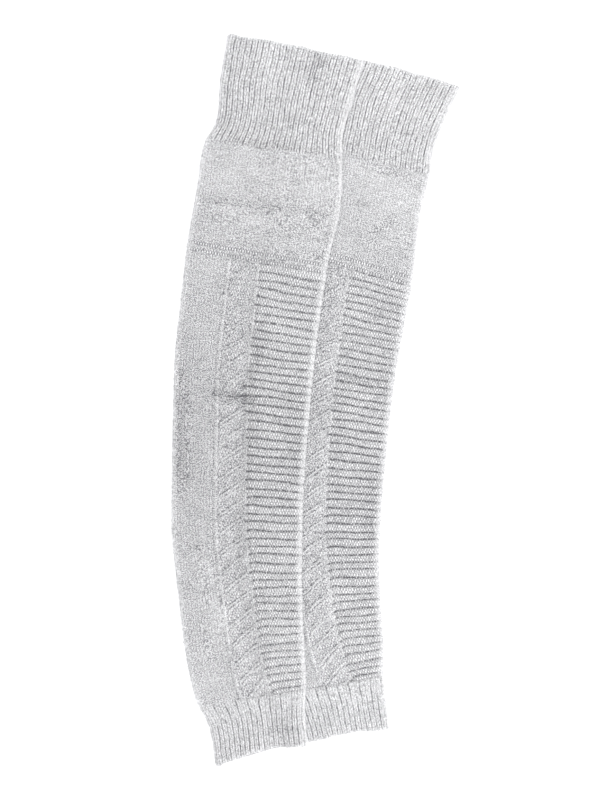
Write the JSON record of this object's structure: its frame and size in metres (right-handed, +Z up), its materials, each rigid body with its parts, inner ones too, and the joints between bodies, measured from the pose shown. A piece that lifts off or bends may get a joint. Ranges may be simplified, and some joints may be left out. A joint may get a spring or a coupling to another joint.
{
  "type": "pair of leg warmers",
  "caption": "Footless knitted wool stockings with ribbed thigh and ankle cuffs and rope and ridge patterned legs, laid flat with one over the edge of the other.",
  "frame": {"origin": "middle of the pair's footprint, on the surface that it lies on", "axes": "+Y from the ankle cuffs towards the thigh cuffs, +X to the right of the picture, +Z up from the surface"},
  "size_m": [0.2442, 0.6221, 0.0105],
  "materials": {
    "grey_wool": "matt knitted heather wool"
  },
  "bodies": {
    "root": {"left_thigh_cuff": "grey_wool", "left_leg": "grey_wool", "left_ankle_cuff": "grey_wool", "right_thigh_cuff": "grey_wool", "right_leg": "grey_wool", "right_ankle_cuff": "grey_wool"}
  },
  "joints": []
}
